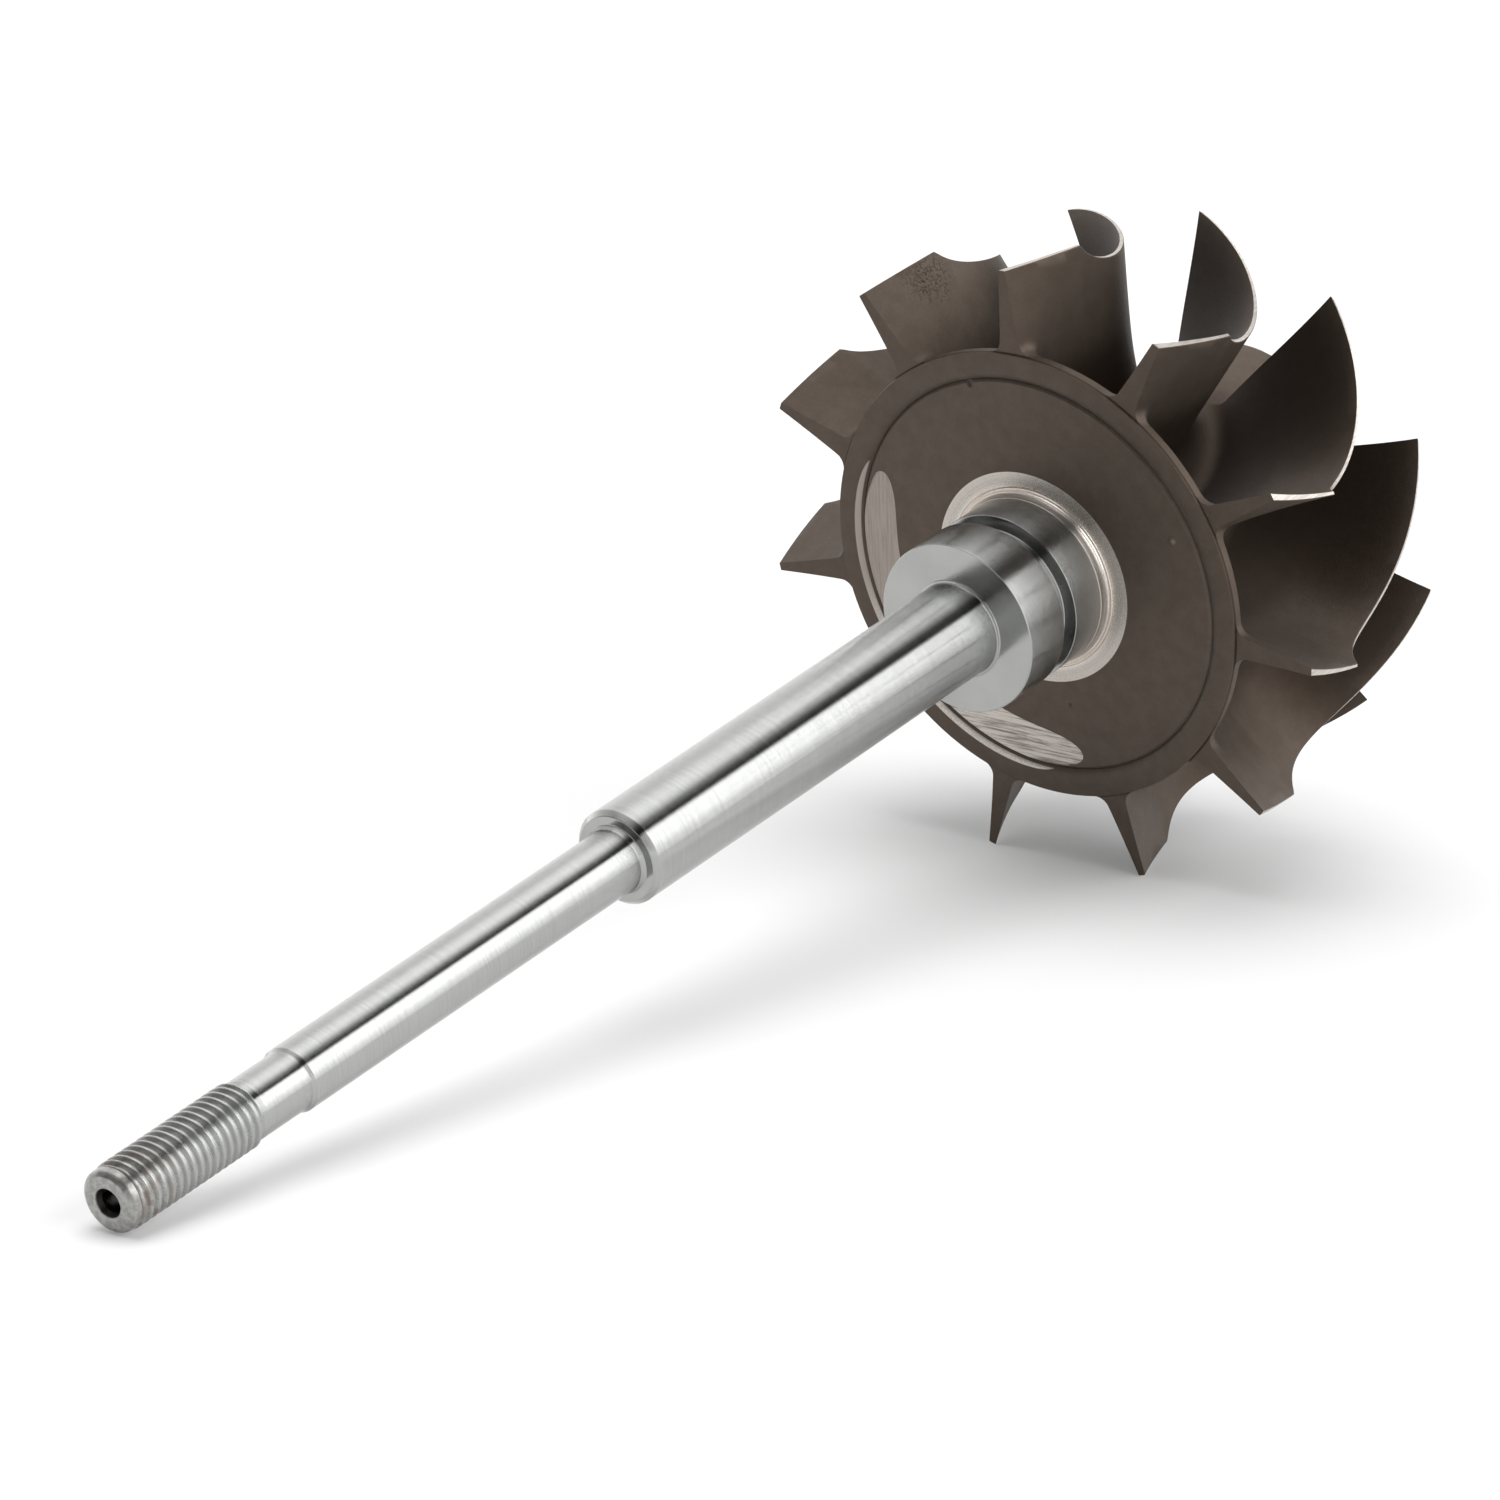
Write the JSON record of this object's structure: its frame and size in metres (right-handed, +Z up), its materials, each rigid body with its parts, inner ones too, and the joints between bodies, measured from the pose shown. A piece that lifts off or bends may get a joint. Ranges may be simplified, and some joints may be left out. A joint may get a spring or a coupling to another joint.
{
  "type": "turbocharger turbine wheel and shaft",
  "caption": "Cast radial turbine wheel with curved blades on a turned steel shaft with seal boss, journal, stepped stub and fine threaded end.",
  "frame": {"origin": "middle of the lower side of the box, on the surface that the rotor lies on", "axes": "+Z up; the rotor's axis runs from the threaded end towards +X, rising 11.3 degrees; blade 01 points up"},
  "size_m": [0.1684, 0.0602, 0.0598],
  "materials": {
    "hub_casting": "blasted nickel alloy casting, matt grey-brown",
    "blade_casting": "blasted nickel alloy casting, matt grey-brown, edges ground bright",
    "shaft_steel": "ground and polished steel"
  },
  "bodies": {
    "root": {"hub": "hub_casting", "blade_01": "blade_casting", "blade_02": "blade_casting", "blade_03": "blade_casting", "blade_04": "blade_casting", "blade_05": "blade_casting", "blade_06": "blade_casting", "blade_07": "blade_casting", "blade_08": "blade_casting", "blade_09": "blade_casting", "blade_10": "blade_casting", "blade_11": "blade_casting", "shaft": "shaft_steel"}
  },
  "joints": []
}
